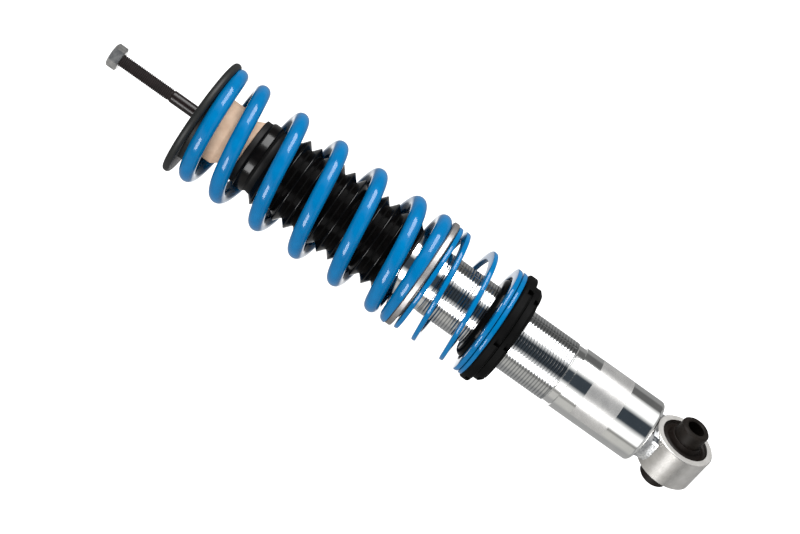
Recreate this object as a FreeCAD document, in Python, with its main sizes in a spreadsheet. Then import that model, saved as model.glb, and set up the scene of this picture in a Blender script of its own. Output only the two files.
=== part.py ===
import FreeCAD, Part
import Sketcher
import math
import os

# Coil-over strut: a single-tube gas damper with a threaded body, a main coil spring over a flat-wire
# helper spring, a castellated spring perch with its lock ring, a ribbed dust boot over a foam bump stop,
# and a rubber-bushed eye at the foot. Millimetres. The origin is the centre of the eye's bolt hole,
# +Z runs up the strut to the rod's pin and X is the axis of the eye.

SIZES = {
    "Eye and bush": {
        "eye_outer_diameter": 50, "eye_wall": 5, "eye_length": 30, "eye_edge": 0.8,
        "sleeve_diameter": 23.5, "sleeve_bore": 14.2, "sleeve_length": 60,
        "sleeve_edge": 1.4, "sleeve_mouth": 0.9, "bush_clearance": 0.05,
        "rubber_recess": 3, "rubber_valley": 1.6, "rubber_boss": 3, "rubber_boss_wall": 1.6,
        "rubber_boss_spread": 3,
    },
    "Weld between the eye and the tube": {
        "weld_gap": 0.5, "weld_width": 37, "weld_height": 9, "weld_bulge": 2,
    },
    "Damper tube": {
        "tube_diameter": 53, "tube_bore": 46, "tube_floor": 5, "tube_corner": 6, "plain_length": 73,
        "relief_diameter": 50, "relief_length": 8, "thread_diameter": 52, "thread_length": 117,
        "head_diameter": 51.2, "head_length": 38,
    },
    "Spring perch and lock ring": {
        "perch_height": 62, "perch_overhang": 1.5, "perch_thickness": 7.8, "perch_round": 2,
        "perch_hub_height": 13.4, "perch_hub_round": 5.2, "thread_clearance": 0.08,
        "ring_inset": 5.25, "ring_thickness": 8.5, "ring_edge": 2.6,
        "slot_count": 6, "slot_width": 6, "slot_depth": 4, "slot_height": 4.5, "slot_angle": 52,
    },
    "Helper spring": {
        "helper_clearance": 1.75, "strip_width": 8.75, "strip_thickness": 3.8, "helper_length": 64.8,
        "helper_turns": 4.95, "helper_closed_gap": 0.5, "helper_tip": 1.5, "helper_angle": 158,
    },
    "Coupler between the springs": {
        "coupler_overhang": 1, "coupler_flange": 5, "coupler_edge": 0.8, "coupler_clearance": 3,
        "coupler_collar_up": 7, "coupler_collar_down": 4, "collar_clearance": 0.3,
    },
    "Main spring": {
        "spring_bore": 70, "spring_wire": 12.4, "spring_length": 198.2, "spring_turns": 7.05,
        "spring_top_gap": 7.3, "spring_closed_gap": 0.6, "tip_thickness": 3.2, "spring_angle": 124,
        "seat_gap": 0.1,
    },
    "Upper spring plate": {
        "plate_overhang": 1.6, "plate_thickness": 6, "plate_round": 2.8, "plate_hub_height": 5,
        "plate_cup_diameter": 34, "plate_cup_depth": 3, "rod_clearance": 0.3,
    },
    "Bump stop": {
        "bump_diameter": 49.5, "bump_length": 58, "bump_edge": 1.6, "bump_waist_diameter": 39,
        "bump_waist_drop": 23.4, "bump_waist_above": 6.8, "bump_waist_below": 10.6,
        "bump_nose_diameter": 30, "bump_nose": 9, "soft_clearance": 0.3,
    },
    "Dust boot": {
        "boot_ribs": 12, "boot_wall": 1.4, "boot_rib_clearance": 1.5, "boot_drop": 34, "boot_cuff": 13,
        "boot_lip": 5, "boot_lip_wall": 1.65, "boot_cuff_wall": 3.45, "boot_neck": 6.6,
        "boot_overlap": 9.5, "boot_foot": 1.8, "boot_land": 1.3,
    },
    "Piston rod, pin and nut": {
        "rod_diameter": 10, "rod_above_plate": 24, "pin_diameter": 9.8, "pin_taper": 3,
        "pin_length": 56.2, "pin_edge": 0.8, "nut_flats": 17, "nut_height": 9, "nut_below_tip": 0.5,
        "nut_angle": 34, "nut_clearance": 0.02, "rod_fit": 0.05,
    },
    "Tube head": {
        "cap_thickness": 2, "cap_spigot": 5.8, "cap_hole": 13, "fit_clearance": 0.1,
        "guide_length": 20, "guide_drop": 8, "circlip_thickness": 2, "circlip_depth": 1.2,
        "circlip_width": 2.6, "seal_diameter": 24, "seal_height": 6, "guide_bush_wall": 0.95,
        "ring_section": 2.8, "ring_groove_width": 3.4, "guide_groove_drop": 9,
    },
    "Piston and valves": {
        "bumper_diameter": 30, "bumper_height": 7.8, "bumper_clearance": 0.2, "bumper_edge": 2,
        "stop_diameter": 26, "stop_height": 6, "stop_edge": 1, "spigot_diameter": 8, "spigot_edge": 0.6,
        "backing_washer": 2, "backing_diameter": 18,
        "shim_thickness": 0.4, "shim_step": 5, "compression_shim": 36, "compression_shims": 3,
        "rebound_shim": 31, "rebound_shims": 4, "piston_height": 16, "piston_clearance": 0.25,
        "band_width": 9, "band_thickness": 1.3, "port_count": 6, "port_diameter": 4.6,
        "compression_port_radius": 15.4, "rebound_port_radius": 12.6, "valve_seat_depth": 1.2,
        "piston_nut_flats": 13, "piston_nut_height": 8, "spigot_past_nut": 1.2,
    },
    "Floating piston": {
        "gas_length": 35, "floating_height": 15, "floating_wall": 4, "floating_clearance": 0.1,
        "floating_groove_drop": 5,
    },
}

PLACES = {
    "tube_bottom": "Sizes.eye_outer_diameter / 2 + Sizes.weld_gap",
    "thread_bottom": "Places.tube_bottom + Sizes.plain_length + Sizes.relief_length",
    "thread_top": "Places.thread_bottom + Sizes.thread_length",
    "tube_top": "Places.thread_top + Sizes.head_length",
    "bore_radius": "Sizes.tube_bore / 2",
    "perch_seat": "Places.thread_bottom + Sizes.perch_height",
    "perch_bottom": "Places.perch_seat - Sizes.perch_thickness",
    "lock_ring_bottom": "Places.perch_bottom - Sizes.ring_thickness",
    "thread_hole_radius": "Sizes.thread_diameter / 2 + Sizes.thread_clearance",
    "hub_radius": "Sizes.spring_bore / 2 - Sizes.collar_clearance",
    "helper_inner": "Sizes.spring_bore / 2 + Sizes.helper_clearance",
    "helper_outer": "Places.helper_inner + Sizes.strip_width",
    "perch_rim": "Places.helper_outer + Sizes.perch_overhang",
    "ring_rim": "Places.perch_rim - Sizes.ring_inset",
    "coupler_rim": "Places.helper_outer + Sizes.coupler_overhang",
    "coupler_bore": "Sizes.thread_diameter / 2 + Sizes.coupler_clearance",
    "plate_rim": "Sizes.spring_bore / 2 + Sizes.spring_wire + Sizes.plate_overhang",
    "boot_hole": "Sizes.bump_diameter / 2 + Sizes.soft_clearance",
    "coupler_bottom": "Places.perch_seat + Sizes.helper_length",
    "coupler_top": "Places.coupler_bottom + Sizes.coupler_flange",
    "plate_bottom": "Places.coupler_top + Sizes.spring_length",
    "plate_top": "Places.plate_bottom + Sizes.plate_thickness",
    "rod_hole_radius": "Sizes.rod_diameter / 2 + Sizes.rod_clearance",
    "rod_fit_radius": "Sizes.rod_diameter / 2 + Sizes.rod_fit",
    "bump_top": "Places.plate_bottom - Sizes.plate_hub_height",
    "boot_top": "Places.bump_top - Sizes.boot_drop",
    "boot_neck_end": "Places.boot_top - Sizes.boot_cuff - Sizes.boot_neck",
    "boot_bottom": "Places.tube_top - Sizes.boot_overlap",
    "rod_shoulder": "Places.plate_top + Sizes.rod_above_plate",
    "rod_tip": "Places.rod_shoulder + Sizes.pin_length",
    "nut_bottom": "Places.rod_tip - Sizes.nut_below_tip - Sizes.nut_height",
    "guide_top": "Places.tube_top - Sizes.guide_drop",
    "guide_bottom": "Places.guide_top - Sizes.guide_length",
    "guide_radius": "Places.bore_radius - Sizes.fit_clearance",
    "guide_groove": "Places.guide_top - Sizes.guide_groove_drop",
    "bumper_bottom": "Places.guide_bottom - Sizes.bumper_clearance - Sizes.bumper_height",
    "spigot_top": "Places.bumper_bottom - Sizes.stop_height",
    "compression_stack": "Sizes.compression_shims * Sizes.shim_thickness",
    "rebound_stack": "Sizes.rebound_shims * Sizes.shim_thickness",
    "upper_washer": "Places.spigot_top - Sizes.backing_washer",
    "piston_top": "Places.upper_washer - Places.compression_stack",
    "piston_bottom": "Places.piston_top - Sizes.piston_height",
    "lower_washer": "Places.piston_bottom - Places.rebound_stack - Sizes.backing_washer",
    "piston_nut_bottom": "Places.lower_washer - Sizes.piston_nut_height",
    "rod_bottom": "Places.piston_nut_bottom - Sizes.spigot_past_nut",
    "floating_bottom": "Places.tube_bottom + Sizes.tube_floor + Sizes.gas_length",
    "floating_radius": "Places.bore_radius - Sizes.floating_clearance",
    "seal_groove_radius": "Places.bore_radius - Sizes.ring_section",
}

HALF_COSINE = math.cos(math.radians(30))

doc = FreeCAD.newDocument("strut")
parts = []


def fill_sheet():
    """Puts every driving size in the sheet, one row each under its group's heading."""
    sheet = doc.addObject("Spreadsheet::Sheet", "Sizes")
    row = 1
    for heading, group in SIZES.items():
        sheet.set(f"A{row}", heading)
        row += 1
        for alias, size in group.items():
            sheet.set(f"A{row}", alias)
            sheet.set(f"B{row}", str(size))
            sheet.setAlias(f"B{row}", alias)
            row += 1
    doc.recompute()
    return sheet


def fill_places():
    """Heights and radii that follow from the driving sizes."""
    places = doc.addObject("App::VarSet", "Places")
    for name in PLACES:
        places.addProperty("App::PropertyFloat", name)
    for name, text in PLACES.items():
        places.setExpression(name, text)
    doc.recompute()
    return places


sizes = fill_sheet()
places = fill_places()


def number(text):
    """The value of an expression on the sheet, for code that needs a plain number."""
    return float(places.evalExpression(str(text)))


def keep(part, label, height="0", turn=0.0):
    """Names a finished sub-part and stands it at its height on the strut."""
    part.Label = label
    part.Placement = FreeCAD.Placement(
        FreeCAD.Vector(0, 0, number(height)), FreeCAD.Rotation(FreeCAD.Vector(0, 0, 1), turn)
    )
    part.setExpression("Placement.Base.z", height)
    parts.append(part)


def new_sketch(body, name, role):
    """An empty sketch on one of the body's own origin planes."""
    sketch = body.newObject("Sketcher::SketchObject", name)
    plane = [item for item in body.Origin.OriginFeatures if item.Role == role][0]
    sketch.AttachmentSupport = (plane, [""])
    sketch.MapMode = "FlatFace"
    return sketch


def bind(sketch, kind, geometry, place, text):
    """Ties one coordinate of a sketch point to an expression."""
    index = sketch.addConstraint(Sketcher.Constraint(kind, -1, 1, geometry, place, number(text)))
    sketch.setExpression(f"Constraints[{index}]", text)


def draw_outline(sketch, corners):
    """A closed run of straight lines through corners, each given as two expressions."""
    first = sketch.GeometryCount
    points = [FreeCAD.Vector(number(across), number(up), 0) for across, up in corners]
    count = len(points)
    for index in range(count):
        sketch.addGeometry(Part.LineSegment(points[index], points[(index + 1) % count]), False)
    for index in range(count):
        following = first + (index + 1) % count
        sketch.addConstraint(Sketcher.Constraint("Coincident", first + index, 2, following, 1))
    for index, (across, up) in enumerate(corners):
        bind(sketch, "DistanceX", first + index, 1, across)
        bind(sketch, "DistanceY", first + index, 1, up)


def draw_circle(sketch, radius, across="0", up="0"):
    """A circle with its centre and radius tied to expressions."""
    centre = FreeCAD.Vector(number(across), number(up), 0)
    circle = sketch.addGeometry(Part.Circle(centre, FreeCAD.Vector(0, 0, 1), number(radius)), False)
    index = sketch.addConstraint(Sketcher.Constraint("Radius", circle, number(radius)))
    sketch.setExpression(f"Constraints[{index}]", radius)
    bind(sketch, "DistanceX", circle, 3, across)
    bind(sketch, "DistanceY", circle, 3, up)


def turned_body(label, corners, about="Z"):
    """A body turned from its half section: about Z the corners are radius and height, about X
    they are the distance along X and the radius."""
    body = doc.addObject("PartDesign::Body", label)
    role, axis = ("XZ_Plane", "V_Axis") if about == "Z" else ("XY_Plane", "H_Axis")
    sketch = new_sketch(body, label + "_section", role)
    draw_outline(sketch, corners)
    turn = body.newObject("PartDesign::Revolution", label + "_turn")
    turn.Profile = sketch
    turn.ReferenceAxis = (sketch, [axis])
    turn.Angle = 360
    body.Tip = turn
    doc.recompute()
    return body


def turned_groove(body, name, corners):
    """Cuts a groove of the given half section round a body's Z axis."""
    before = body.Shape.Volume
    sketch = new_sketch(body, name + "_section", "XZ_Plane")
    draw_outline(sketch, corners)
    groove = body.newObject("PartDesign::Groove", name)
    groove.Profile = sketch
    groove.ReferenceAxis = (sketch, ["V_Axis"])
    groove.Angle = 360
    body.Tip = groove
    doc.recompute()
    check_cut(body, before, name)


def check_cut(body, before, name):
    """Stops the build when a cut has taken nothing away."""
    if body.Shape.Volume > before - 0.01:
        raise RuntimeError(f"{name} cuts nothing from {body.Label}")


def circle_edges(body, radius, along, about="Z"):
    """Names of the round edges of that radius at that height, on the body's newest feature."""
    found = []
    for index, edge in enumerate(body.Tip.Shape.Edges):
        if not isinstance(edge.Curve, Part.Circle):
            continue
        centre = edge.Curve.Center
        place = centre.z if about == "Z" else centre.x
        if abs(edge.Curve.Radius - number(radius)) < 0.001 and abs(place - number(along)) < 0.001:
            found.append(f"Edge{index + 1}")
    if not found:
        raise RuntimeError(f"{body.Label} has no round edge of radius {radius} at {along}")
    return found


def ease_edges(body, kind, name, edges, size):
    """Rounds (Fillet) or bevels (Chamfer) the named edges."""
    worked = body.Tip
    feature = body.newObject("PartDesign::" + kind, name)
    feature.Base = (worked, edges)
    field = "Radius" if kind == "Fillet" else "Size"
    setattr(feature, field, number(size))
    feature.setExpression(field, size)
    body.Tip = feature
    doc.recompute()


def cut_pocket(body, sketch, name, depth=None, upwards=False):
    """Cuts a sketch into its body, right through or to a depth."""
    before = body.Shape.Volume
    pocket = body.newObject("PartDesign::Pocket", name)
    pocket.Profile = sketch
    pocket.Reversed = upwards
    if depth is None:
        pocket.Type = "ThroughAll"
        pocket.Midplane = True
    else:
        pocket.Length = number(depth)
        pocket.setExpression("Length", depth)
    body.Tip = pocket
    doc.recompute()
    check_cut(body, before, name)
    return pocket


def ring_of_cuts(body, pocket, sketch, count):
    """Repeats a cut evenly round the Z axis."""
    pattern = body.newObject("PartDesign::PolarPattern", pocket.Name + "_ring")
    pattern.Originals = [pocket]
    pattern.Axis = (sketch, ["N_Axis"])
    pattern.Angle = 360
    pattern.Occurrences = int(number(count))
    pattern.setExpression("Occurrences", count)
    body.Tip = pattern
    doc.recompute()


def ring_corners(inner, outer, height):
    """Half section of a plain ring that stands on its own zero height."""
    return [(inner, "0"), (outer, "0"), (outer, height), (inner, height)]


def hex_nut(label, flats, height, hole, place, turn=0.0):
    """A six-sided nut, its corners bevelled at both ends."""
    corner = f"({flats}) / 2 / {HALF_COSINE}"
    bevel = f"({corner} - ({flats}) / 2)"
    body = turned_body(label, [
        (hole, "0"), (f"({flats}) / 2", "0"), (corner, bevel + " / 2"),
        (corner, f"{height} - {bevel} / 2"), (f"({flats}) / 2", height), (hole, height),
    ])
    sketch = new_sketch(body, label + "_hexagon", "XY_Plane")
    half = f"({flats}) / 2"
    draw_outline(sketch, [
        (corner, "0"), (f"{corner} / 2", half), (f"-{corner} / 2", half),
        ("-" + corner, "0"), (f"-{corner} / 2", "-" + half), (f"{corner} / 2", "-" + half),
    ])
    draw_circle(sketch, f"{corner} + 1")
    cut_pocket(body, sketch, label + "_flats")
    keep(body, label, place, turn)


def make_bush_sleeve():
    """Steel sleeve that the lower bolt clamps, with a bevelled mouth at each end."""
    half = "Sizes.sleeve_length / 2"
    bore = "Sizes.sleeve_bore / 2"
    body = turned_body("bush_sleeve", [
        ("-" + half, bore), (half, bore),
        (half, "Sizes.sleeve_diameter / 2"), ("-" + half, "Sizes.sleeve_diameter / 2"),
    ], about="X")
    outer = []
    inner = []
    for side in (half, "-" + half):
        outer += circle_edges(body, "Sizes.sleeve_diameter / 2", side, "X")
    ease_edges(body, "Chamfer", "sleeve_edges", outer, "Sizes.sleeve_edge")
    for side in (half, "-" + half):
        inner += circle_edges(body, bore, side, "X")
    ease_edges(body, "Chamfer", "sleeve_mouths", inner, "Sizes.sleeve_mouth")
    keep(body, "bush_sleeve")


def make_bush_rubber():
    """Rubber between the eye and its sleeve: dished at the rim, with a boss round the sleeve."""
    inner = "Sizes.sleeve_diameter / 2 + Sizes.bush_clearance"
    outer = "Sizes.eye_outer_diameter / 2 - Sizes.eye_wall"
    rim = "Sizes.eye_length / 2 - Sizes.rubber_recess"
    valley = f"{rim} - Sizes.rubber_valley"
    valley_radius = f"{inner} + Sizes.rubber_boss_wall + Sizes.rubber_boss_spread"
    boss = "Sizes.eye_length / 2 + Sizes.rubber_boss"
    boss_edge = f"{inner} + Sizes.rubber_boss_wall"
    right = [(boss, inner), (boss, boss_edge), (valley, valley_radius), (rim, outer)]
    left = [(f"-({along})", radius) for along, radius in reversed(right)]
    body = turned_body("bush_rubber", right + left, about="X")
    keep(body, "bush_rubber")


def make_lower_eye():
    """Steel ring that holds the bush, with eased edges."""
    half = "Sizes.eye_length / 2"
    inner = "Sizes.eye_outer_diameter / 2 - Sizes.eye_wall"
    outer = "Sizes.eye_outer_diameter / 2"
    body = turned_body("lower_eye", [
        ("-" + half, inner), (half, inner), (half, outer), ("-" + half, outer),
    ], about="X")
    edges = circle_edges(body, outer, half, "X") + circle_edges(body, outer, "-" + half, "X")
    ease_edges(body, "Chamfer", "eye_edges", edges, "Sizes.eye_edge")
    keep(body, "lower_eye")


def make_eye_weld():
    """Weld that fills the corners between the round eye and the flat foot of the tube, its two
    beads bulging outward."""
    body = doc.addObject("PartDesign::Body", "eye_weld")
    half = "Sizes.weld_width / 2"
    top = "Places.tube_bottom"
    bead = [
        (half, top), (f"{half} + 0.7 * Sizes.weld_bulge", f"{top} - 0.2 * Sizes.weld_height"),
        (f"{half} + Sizes.weld_bulge", f"{top} - 0.5 * Sizes.weld_height"),
        (f"{half} + 0.8 * Sizes.weld_bulge", f"{top} - 0.8 * Sizes.weld_height"),
        (half, f"{top} - Sizes.weld_height"),
    ]
    mirrored = [(f"-({across})", up) for across, up in reversed(bead)]
    sketch = new_sketch(body, "weld_section", "YZ_Plane")
    draw_outline(sketch, bead + mirrored)
    pad = body.newObject("PartDesign::Pad", "weld_bead")
    pad.Profile = sketch
    pad.Midplane = True
    pad.setExpression("Length", "Sizes.eye_length - 2 * Sizes.eye_edge")
    body.Tip = pad
    doc.recompute()
    seat = new_sketch(body, "eye_seat", "YZ_Plane")
    draw_circle(seat, "Sizes.eye_outer_diameter / 2")
    cut_pocket(body, seat, "eye_seat_cut")
    keep(body, "eye_weld")


def make_damper_tube():
    """Pressure tube: closed rounded foot, plain band, thread relief, threaded length, plain head."""
    outer = "Sizes.tube_diameter / 2"
    relief = "Sizes.relief_diameter / 2"
    thread = "Sizes.thread_diameter / 2"
    head = "Sizes.head_diameter / 2"
    thread_start = "Sizes.plain_length + Sizes.relief_length"
    thread_end = thread_start + " + Sizes.thread_length"
    top = thread_end + " + Sizes.head_length"
    body = turned_body("damper_tube", [
        ("0", "0"), (outer, "0"), (outer, "Sizes.plain_length"),
        (relief, f"Sizes.plain_length + {outer} - {relief}"),
        (relief, f"{thread_start} - {thread} + {relief}"), (thread, thread_start),
        (thread, f"{thread_end} - {thread} + {head}"), (head, thread_end), (head, top),
        ("Places.bore_radius", top), ("Places.bore_radius", "Sizes.tube_floor"),
        ("0", "Sizes.tube_floor"),
    ])
    ease_edges(body, "Fillet", "tube_corner", circle_edges(body, outer, "0"), "Sizes.tube_corner")
    groove_top = "Places.guide_top + Sizes.circlip_thickness - Places.tube_bottom"
    groove = "Places.bore_radius + Sizes.circlip_depth"
    turned_groove(body, "circlip_groove", [
        ("Places.bore_radius - 1", "Places.guide_top - Places.tube_bottom"),
        (groove, "Places.guide_top - Places.tube_bottom"),
        (groove, groove_top), ("Places.bore_radius - 1", groove_top),
    ])
    keep(body, "damper_tube", "Places.tube_bottom")


def cut_slots(body, name, radius):
    """Spanner slots in the rim's lower half, evenly spaced, open at the rim and underneath."""
    half = "Sizes.slot_width / 2"
    sketch = new_sketch(body, name + "_outline", "XY_Plane")
    draw_outline(sketch, [
        (f"{radius} - Sizes.slot_depth", "-" + half), (f"{radius} + 1", "-" + half),
        (f"{radius} + 1", half), (f"{radius} - Sizes.slot_depth", half),
    ])
    pocket = cut_pocket(body, sketch, name, "Sizes.slot_height", upwards=True)
    ring_of_cuts(body, pocket, sketch, "Sizes.slot_count")


def make_spring_perch():
    """Threaded perch: a slotted flange that carries the helper spring and a round-topped hub
    that centres it."""
    rim = "Places.perch_rim"
    top = "Sizes.perch_thickness"
    hub_top = "Sizes.perch_thickness + Sizes.perch_hub_height"
    body = turned_body("spring_perch", [
        ("Places.thread_hole_radius", "0"), (rim, "0"), (rim, top), ("Places.hub_radius", top),
        ("Places.hub_radius", hub_top), ("Places.thread_hole_radius", hub_top),
    ])
    ease_edges(body, "Fillet", "hub_round", circle_edges(body, "Places.hub_radius", hub_top),
               "min(Sizes.perch_hub_round; 0.9 * (Places.hub_radius - Places.thread_hole_radius))")
    rims = circle_edges(body, rim, "0") + circle_edges(body, rim, top)
    ease_edges(body, "Fillet", "flange_round", rims, "Sizes.perch_round")
    cut_slots(body, "perch_slot", rim)
    keep(body, "spring_perch", "Places.perch_bottom", number("Sizes.slot_angle"))


def make_lock_ring():
    """Lock ring wound up against the perch from below."""
    rim = "Places.ring_rim"
    body = turned_body("lock_ring", ring_corners("Places.thread_hole_radius", rim, "Sizes.ring_thickness"))
    ease_edges(body, "Chamfer", "ring_bevel", circle_edges(body, rim, "0"), "Sizes.ring_edge")
    ease_edges(body, "Chamfer", "ring_top", circle_edges(body, rim, "Sizes.ring_thickness"),
               "Sizes.perch_round / 2")
    cut_slots(body, "ring_slot", rim)
    keep(body, "lock_ring", "Places.lock_ring_bottom", number("Sizes.slot_angle"))


def make_spring_coupler():
    """Turned ring that joins the two springs: a flange between them and a collar inside each."""
    bore = "Places.coupler_bore"
    rim = "Places.coupler_rim"
    flange_top = "Sizes.coupler_flange"
    collar_top = "Sizes.coupler_flange + Sizes.coupler_collar_up"
    body = turned_body("spring_coupler", [
        (bore, "-Sizes.coupler_collar_down"), ("Places.hub_radius", "-Sizes.coupler_collar_down"),
        ("Places.hub_radius", "0"), (rim, "0"), (rim, flange_top), ("Places.hub_radius", flange_top),
        ("Places.hub_radius", collar_top), (bore, collar_top),
    ])
    edges = circle_edges(body, rim, "0") + circle_edges(body, rim, flange_top)
    ease_edges(body, "Chamfer", "coupler_rim", edges, "Sizes.coupler_edge")
    lips = circle_edges(body, "Places.hub_radius", collar_top)
    lips += circle_edges(body, "Places.hub_radius", "-Sizes.coupler_collar_down")
    ease_edges(body, "Chamfer", "coupler_lips", lips,
               "min(Sizes.coupler_edge; 0.4 * (Places.hub_radius - Places.coupler_bore))")
    keep(body, "spring_coupler", "Places.coupler_bottom")


def make_upper_plate():
    """Upper spring plate: rounded rim, a hub that centres the spring and a cup for the bump stop."""
    rim = "Places.plate_rim"
    cup = "Sizes.plate_cup_diameter / 2"
    body = turned_body("upper_spring_plate", [
        ("Places.rod_hole_radius", "Sizes.plate_cup_depth - Sizes.plate_hub_height"),
        (cup, "Sizes.plate_cup_depth - Sizes.plate_hub_height"), (cup, "-Sizes.plate_hub_height"),
        ("Places.hub_radius", "-Sizes.plate_hub_height"), ("Places.hub_radius", "0"), (rim, "0"),
        (rim, "Sizes.plate_thickness"), ("Places.rod_hole_radius", "Sizes.plate_thickness"),
    ])
    edges = circle_edges(body, rim, "0") + circle_edges(body, rim, "Sizes.plate_thickness")
    ease_edges(body, "Fillet", "plate_rim", edges, "Sizes.plate_round")
    lip = circle_edges(body, "Places.hub_radius", "-Sizes.plate_hub_height")
    ease_edges(body, "Chamfer", "plate_hub_lip", lip, "Sizes.plate_round / 2")
    keep(body, "upper_spring_plate", "Places.plate_bottom")


def make_bump_stop():
    """Foam bump stop, drawn from its top down: a stub held in the plate's cup, a waist that the
    boot's cuff sits under, and a tapered nose."""
    hole = "Sizes.rod_diameter / 2 + Sizes.soft_clearance"
    stub = "Sizes.plate_cup_diameter / 2 - Sizes.soft_clearance"
    full = "Sizes.bump_diameter / 2"
    edge = "Sizes.bump_edge"
    waist = "-Sizes.bump_waist_drop"
    nose = "-Sizes.bump_length + Sizes.bump_nose"
    stub_top = "Sizes.plate_cup_depth - Sizes.soft_clearance"
    body = turned_body("bump_stop", [
        (hole, "-Sizes.bump_length"), ("Sizes.bump_nose_diameter / 2", "-Sizes.bump_length"),
        (full, nose), (full, f"{waist} - Sizes.bump_waist_below"),
        ("Sizes.bump_waist_diameter / 2", waist), (full, f"{waist} + Sizes.bump_waist_above"),
        (full, "-" + edge), (f"{full} - {edge}", "0"), (stub, "0"), (stub, stub_top), (hole, stub_top),
    ])
    keep(body, "bump_stop", "Places.bump_top")


def boot_ribs(thinner):
    """Radius and height at the circles of the boot's ribs from the neck down, drawn thinner by the
    wall for the inner skin: each rib is a valley, two edges of a narrow crest and a valley."""
    crest = number("Sizes.spring_bore / 2 - Sizes.boot_rib_clearance") - thinner
    valley = number("Sizes.head_diameter / 2 + Sizes.soft_clearance + Sizes.boot_wall") - thinner
    start = number("Places.boot_neck_end")
    count = int(number("Sizes.boot_ribs"))
    pitch = (start - number("Places.boot_bottom + Sizes.boot_foot")) / count
    land = number("Sizes.boot_land") / 2
    stations = []
    for index in range(count):
        top = start - index * pitch
        stations += [(valley, top - land), (crest, top - pitch / 2 + land),
                     (crest, top - pitch / 2 - land), (valley, top - pitch + land)]
    return stations


def ring_wire(radius, height):
    """A circle round the strut whose seam stays on the same side at every height."""
    centre = FreeCAD.Vector(0, 0, height)
    return Part.Wire(Part.Circle(centre, FreeCAD.Vector(0, 0, 1), radius).toShape())


def lofted(stations):
    """A solid ruled through circles."""
    return Part.makeLoft([ring_wire(radius, height) for radius, height in stations], True, True)


def make_dust_boot():
    """Ribbed rubber boot, an outer ruled skin less an inner one a wall thinner: a lip and a cuff over
    the bump stop, a short neck, the ribs, and a plain foot round the tube's head."""
    wall = number("Sizes.boot_wall")
    hole = number("Places.boot_hole")
    lip = number("Places.boot_hole + Sizes.boot_lip_wall")
    cuff = number("Places.boot_hole + Sizes.boot_cuff_wall")
    top = number("Places.boot_top")
    lip_end = top - number("Sizes.boot_lip")
    cuff_end = top - number("Sizes.boot_cuff")
    foot = number("Places.boot_bottom")
    outer = boot_ribs(0)
    inner = boot_ribs(wall)
    ribs = lofted([(outer[0][0], cuff_end)] + outer + [(outer[-1][0], foot)])
    collar = lofted([(lip, top), (lip, lip_end)]).fuse(lofted([(cuff, lip_end), (cuff, cuff_end)]))
    bore = lofted([(hole, top), (hole, cuff_end)] + inner + [(inner[-1][0], foot)])
    boot = doc.addObject("Part::Feature", "dust_boot")
    boot.Shape = ribs.fuse(collar).cut(bore).removeSplitter().Solids[0]
    boot.Label = "dust_boot"
    parts.append(boot)


def rise_table(stations):
    """Turns and heights of a coil whose rise per turn runs straight between (turn, rise) stations."""
    table = [(0.0, 0.0)]
    for (turn, rise), (next_turn, next_rise) in zip(stations, stations[1:]):
        table.append((next_turn, table[-1][1] + (next_turn - turn) * (rise + next_rise) / 2))
    return table


def coil_height(stations, turn):
    """Height and rise per turn at a turn of the coil."""
    table = rise_table(stations)
    for index in range(len(stations) - 1):
        start, rise = stations[index]
        stop, next_rise = stations[index + 1]
        if turn <= stop or index == len(stations) - 2:
            gone = turn - start
            slope = (next_rise - rise) / (stop - start)
            return table[index][1] + gone * rise + slope * gone * gone / 2, rise + slope * gone


def solve_rise(make_stations, height):
    """The active rise per turn that makes a coil climb to the given height."""
    none = rise_table(make_stations(0.0))[-1][1]
    one = rise_table(make_stations(1.0))[-1][1]
    return (height - none) / (one - none)


def coil_point(radius, base, start_angle, stations, turn):
    """Centre of the wire and its direction at a turn of a right-handed coil."""
    height, rise = coil_height(stations, turn)
    angle = math.radians(start_angle) + 2 * math.pi * turn
    point = FreeCAD.Vector(radius * math.cos(angle), radius * math.sin(angle), base + height)
    along = FreeCAD.Vector(-radius * math.sin(angle), radius * math.cos(angle), rise / (2 * math.pi))
    return point, along.normalize()


def arc_from(point, along, end):
    """The arc that leaves a point in a direction and ends at another point."""
    chord = end - point
    middle = (point + end) / 2
    side = along * chord.dot(chord) - chord * along.dot(chord)
    radius = chord.dot(chord) * chord.Length / (2 * side.Length)
    across = side.normalize().cross(chord).cross(chord).normalize() * -1
    if across.dot(along) < 0:
        across = across * -1
    sagitta = radius - math.sqrt(max(radius * radius - chord.dot(chord) / 4, 0))
    return Part.Arc(point, middle + across * sagitta, end).toShape()


def biarc(first, first_along, last, last_along):
    """Two arcs that join two points and keep both directions."""
    gap = last - first
    both = first_along + last_along
    turn = 2 * (1 - first_along.dot(last_along))
    reach = (math.sqrt(gap.dot(both) ** 2 + turn * gap.dot(gap)) - gap.dot(both)) / turn
    joint = (first + first_along * reach + last - last_along * reach) / 2
    start_arc = arc_from(first, first_along, joint)
    end_arc = arc_from(last, last_along * -1, joint)
    return [start_arc, end_arc]


def coil_path(radius, base, start_angle, stations):
    """The wire's centre line as biarcs of a quarter turn."""
    turns = stations[-1][0]
    steps = math.ceil(turns * 4)
    marks = [coil_point(radius, base, start_angle, stations, turns * step / steps)
             for step in range(steps + 1)]
    edges = []
    for (first, first_along), (last, last_along) in zip(marks, marks[1:]):
        edges += biarc(first, first_along, last, last_along)
    return Part.Wire(Part.__sortEdges__(edges)), marks[0]


def least_gap(radius, stations, thickness):
    """Least clear distance from one turn to the next, measured on points along the coil."""
    turns = stations[-1][0]
    steps = int(turns * 48)
    points = [coil_point(radius, 0, 0, stations, turns * step / steps)[0] for step in range(steps + 1)]
    least = 1000.0
    for index, point in enumerate(points):
        for other in points[index + 36:index + 61]:
            least = min(least, point.distanceToPoint(other))
    return least - thickness


def ground_ends(coil, reach, low, high):
    """Cuts a coil flat at its two seats."""
    block = Part.makeBox(2 * reach, 2 * reach, high - low, FreeCAD.Vector(-reach, -reach, low))
    return coil.common(block).removeSplitter()


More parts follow.
